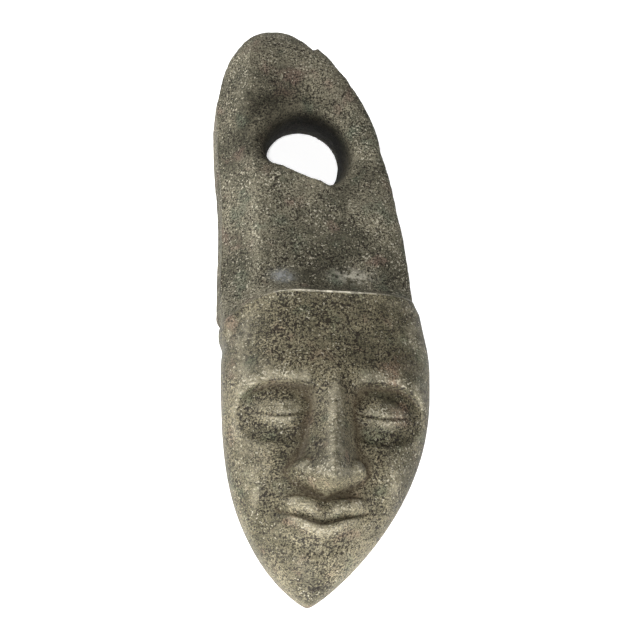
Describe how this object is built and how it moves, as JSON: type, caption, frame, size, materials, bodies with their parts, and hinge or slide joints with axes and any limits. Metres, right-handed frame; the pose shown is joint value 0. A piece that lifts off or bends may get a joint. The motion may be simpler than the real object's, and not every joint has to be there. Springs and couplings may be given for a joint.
{
  "type": "stone face sculpture",
  "caption": "Carved stone: a calm, long face with a pointed chin below a tapering block-like stem with a through hole; it lies on its flat back.",
  "frame": {"origin": "under the middle of the stone's bounding box, on the plane of its flat back", "axes": "+X across the face, +Y from the chin to the top of the stem, +Z from the flat back to the face"},
  "size_m": [0.1148, 0.33, 0.0824],
  "materials": {
    "stone": "speckled, rough on the stem and smoothed on the face"
  },
  "bodies": {
    "root": {"stone_face": "stone"}
  },
  "joints": []
}
